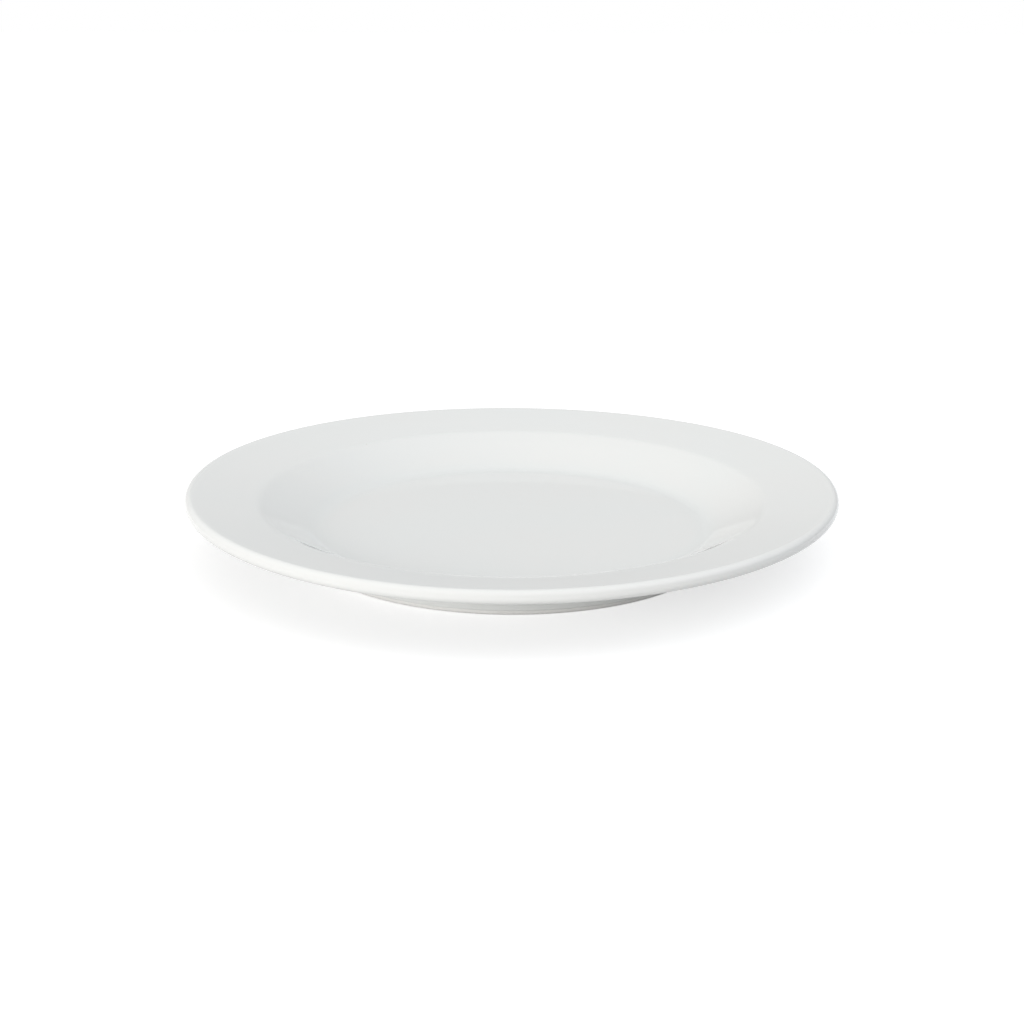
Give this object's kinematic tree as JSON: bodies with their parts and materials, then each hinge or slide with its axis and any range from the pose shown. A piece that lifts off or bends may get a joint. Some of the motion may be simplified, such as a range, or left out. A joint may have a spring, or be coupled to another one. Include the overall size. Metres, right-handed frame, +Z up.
{
  "type": "side plate",
  "caption": "Round side plate in white glazed porcelain with a wide sloping flange, rounded lip, flat-floored well and a dry foot ring.",
  "frame": {"origin": "on the table under the middle of the plate, in the plane of the foot ring's bearing edge", "axes": "+Z up along the axis of turning, -Y towards the viewer of the picture, +X to the viewer's right"},
  "size_m": [0.17, 0.17, 0.0173],
  "materials": {
    "bare_porcelain": "fired clay, ground smooth, unglazed",
    "white_glaze": "glossy white glaze"
  },
  "bodies": {
    "root": {"porcelain_body": "bare_porcelain", "outer_glaze": "white_glaze", "base_glaze": "white_glaze"}
  },
  "joints": []
}
